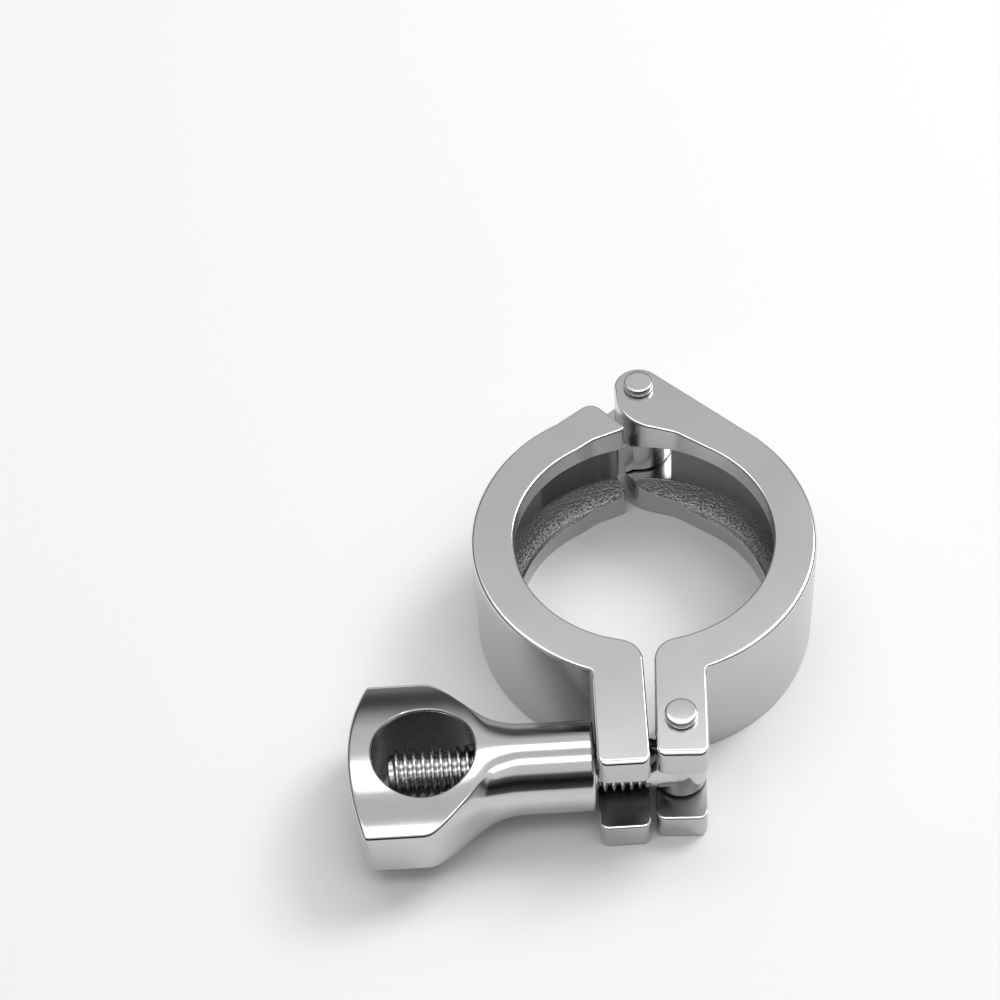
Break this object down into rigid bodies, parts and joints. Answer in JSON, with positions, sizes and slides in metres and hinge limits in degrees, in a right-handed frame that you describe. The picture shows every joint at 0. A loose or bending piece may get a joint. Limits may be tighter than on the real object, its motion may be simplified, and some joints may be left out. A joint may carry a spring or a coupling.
{
  "type": "sanitary clamp fitting",
  "caption": "Hinged two-jaw clamp for sanitary tube ferrules, with a swing eye bolt pinned in one lug and a wing nut with a round window that pulls the lugs together.",
  "frame": {"origin": "centre of the clamp bore at mid height", "axes": "+Z along the bore axis, +Y towards the hinge, -Y towards the lugs and the bolt, nut on the -X side"},
  "size_m": [0.0816, 0.0956, 0.0259],
  "materials": {
    "satin_steel": "satin, fine matt sheen",
    "bright_steel": "polished"
  },
  "bodies": {
    "right_jaw": {"right_jaw": "satin_steel", "hinge_pin": "bright_steel", "bolt_pin": "bright_steel"},
    "left_jaw": {"left_jaw": "satin_steel"},
    "eye_bolt": {"eye_bolt": "bright_steel"},
    "wing_nut": {"wing_nut": "bright_steel"}
  },
  "joints": [
    {"name": "bolt_swing", "type": "hinge", "parent": "right_jaw", "child": "eye_bolt", "pos_m": [0.005, -0.0388, 0], "axis": [0, 0, 1], "range_deg": [0, 75]},
    {"name": "nut_travel", "type": "slide", "parent": "eye_bolt", "child": "wing_nut", "axis": [-0.9994, -0.0349, 0], "range_m": [0, 0.03]},
    {"name": "jaw_open", "type": "hinge", "parent": "right_jaw", "child": "left_jaw", "pos_m": [0, 0.035, 0], "axis": [0, 0, -1], "range_deg": [0, 15]}
  ],
  "couplings": [
    {"joint": "nut_travel", "follows": "bolt_swing", "m_per_rad": 0.0228},
    {"joint": "jaw_open", "follows": "bolt_swing", "ratio": 0.199}
  ]
}
